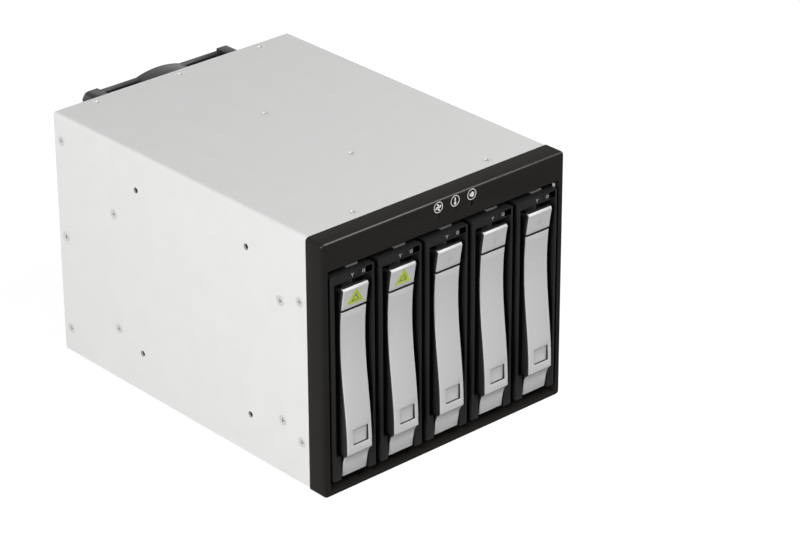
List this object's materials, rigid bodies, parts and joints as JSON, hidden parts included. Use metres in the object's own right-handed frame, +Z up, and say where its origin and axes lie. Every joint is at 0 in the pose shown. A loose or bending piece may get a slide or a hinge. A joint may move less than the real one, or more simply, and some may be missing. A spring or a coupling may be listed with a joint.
{
  "type": "hot swap drive cage",
  "caption": "Steel bay cage with a black bezel; upright drive trays with silver pivoting levers and release buttons slide in beside each other, fan at the rear.",
  "frame": {"origin": "under the middle of the whole assembly, at the height of the bezel's bottom edge", "axes": "+X to the right seen from the front, +Y from the front to the back, +Z up"},
  "size_m": [0.146, 0.225, 0.126],
  "materials": {
    "case_steel": "plain zinc-coated sheet, satin",
    "bezel_plastic": "fine textured black",
    "tray_plastic": "fine textured dark grey",
    "lever_silver": "silver-grey lacquer, satin",
    "carrier_steel": "plain zinc-coated sheet",
    "guide_plastic": "plain black",
    "board_laminate": "green coated circuit board",
    "connector_plastic": "plain black",
    "socket_nylon": "natural white nylon",
    "button_black": "glossy black",
    "light_pipe": "smoked clear",
    "fan_plastic": "plain black",
    "guard_wire": "bright plated wire",
    "screw_steel": "plated"
  },
  "bodies": {
    "cage": {"backplane_board": "board_laminate", "base_plate": "case_steel", "base_screws": "screw_steel", "bezel": "bezel_plastic", "board_standoffs": "screw_steel", "buzzer": "button_black", "data_ports": "connector_plastic", "drive_connectors": "connector_plastic", "fan_frame": "fan_plastic", "fan_guard": "guard_wire", "fan_header": "socket_nylon", "fan_screws": "screw_steel", "indicator_board": "board_laminate", "lower_guide": "guide_plastic", "outer_cover": "case_steel", "power_sockets": "socket_nylon", "rear_panel": "case_steel", "side_guide_left": "guide_plastic", "side_guide_right": "guide_plastic", "side_screws": "screw_steel", "status_lights": "light_pipe", "top_screws": "screw_steel", "upper_guide": "guide_plastic"},
    "rotor": {"fan_rotor": "fan_plastic"},
    "mute_plunger": {"mute_button": "button_black"},
    "tray_1": {"tray_1_face": "tray_plastic", "tray_1_carrier": "carrier_steel", "tray_1_lights": "light_pipe"},
    "lever_1": {"lever_1_arm": "tray_plastic", "lever_1_cover": "lever_silver"},
    "button_1": {"button_1": "lever_silver"},
    "tray_2": {"tray_2_face": "tray_plastic", "tray_2_carrier": "carrier_steel", "tray_2_lights": "light_pipe"},
    "lever_2": {"lever_2_arm": "tray_plastic", "lever_2_cover": "lever_silver"},
    "button_2": {"button_2": "lever_silver"},
    "tray_3": {"tray_3_face": "tray_plastic", "tray_3_carrier": "carrier_steel", "tray_3_lights": "light_pipe"},
    "lever_3": {"lever_3_arm": "tray_plastic", "lever_3_cover": "lever_silver"},
    "button_3": {"button_3": "lever_silver"},
    "tray_4": {"tray_4_face": "tray_plastic", "tray_4_carrier": "carrier_steel", "tray_4_lights": "light_pipe"},
    "lever_4": {"lever_4_arm": "tray_plastic", "lever_4_cover": "lever_silver"},
    "button_4": {"button_4": "lever_silver"},
    "tray_5": {"tray_5_face": "tray_plastic", "tray_5_carrier": "carrier_steel", "tray_5_lights": "light_pipe"},
    "lever_5": {"lever_5_arm": "tray_plastic", "lever_5_cover": "lever_silver"},
    "button_5": {"button_5": "lever_silver"}
  },
  "joints": [
    {"name": "fan_spin", "type": "hinge", "parent": "cage", "child": "rotor", "pos_m": [0.0089, 0.09663, 0.0712], "axis": [0, 1, 0], "continuous": true},
    {"name": "mute_press", "type": "slide", "parent": "cage", "child": "mute_plunger", "axis": [0, 1, 0], "range_m": [0, 0.0008], "stiffness_N_per_m": 300},
    {"name": "tray_1_slide", "type": "slide", "parent": "cage", "child": "tray_1", "axis": [0, -1, 0], "range_m": [0, 0.18]},
    {"name": "lever_1_swing", "type": "hinge", "parent": "tray_1", "child": "lever_1", "pos_m": [-0.0558, -0.10408, 0.0125], "axis": [1, 0, 0], "range_deg": [0, 60]},
    {"name": "button_1_press", "type": "slide", "parent": "lever_1", "child": "button_1", "axis": [0, 0, -1], "range_m": [0, 0.001], "stiffness_N_per_m": 400},
    {"name": "tray_2_slide", "type": "slide", "parent": "cage", "child": "tray_2", "axis": [0, -1, 0], "range_m": [0, 0.18]},
    {"name": "lever_2_swing", "type": "hinge", "parent": "tray_2", "child": "lever_2", "pos_m": [-0.0279, -0.10408, 0.0125], "axis": [1, 0, 0], "range_deg": [0, 60]},
    {"name": "button_2_press", "type": "slide", "parent": "lever_2", "child": "button_2", "axis": [0, 0, -1], "range_m": [0, 0.001], "stiffness_N_per_m": 400},
    {"name": "tray_3_slide", "type": "slide", "parent": "cage", "child": "tray_3", "axis": [0, -1, 0], "range_m": [0, 0.18]},
    {"name": "lever_3_swing", "type": "hinge", "parent": "tray_3", "child": "lever_3", "pos_m": [0, -0.10408, 0.0125], "axis": [1, 0, 0], "range_deg": [0, 60]},
    {"name": "button_3_press", "type": "slide", "parent": "lever_3", "child": "button_3", "axis": [0, 0, -1], "range_m": [0, 0.001], "stiffness_N_per_m": 400},
    {"name": "tray_4_slide", "type": "slide", "parent": "cage", "child": "tray_4", "axis": [0, -1, 0], "range_m": [0, 0.18]},
    {"name": "lever_4_swing", "type": "hinge", "parent": "tray_4", "child": "lever_4", "pos_m": [0.0279, -0.10408, 0.0125], "axis": [1, 0, 0], "range_deg": [0, 60]},
    {"name": "button_4_press", "type": "slide", "parent": "lever_4", "child": "button_4", "axis": [0, 0, -1], "range_m": [0, 0.001], "stiffness_N_per_m": 400},
    {"name": "tray_5_slide", "type": "slide", "parent": "cage", "child": "tray_5", "axis": [0, -1, 0], "range_m": [0, 0.18]},
    {"name": "lever_5_swing", "type": "hinge", "parent": "tray_5", "child": "lever_5", "pos_m": [0.0558, -0.10408, 0.0125], "axis": [1, 0, 0], "range_deg": [0, 60]},
    {"name": "button_5_press", "type": "slide", "parent": "lever_5", "child": "button_5", "axis": [0, 0, -1], "range_m": [0, 0.001], "stiffness_N_per_m": 400}
  ]
}
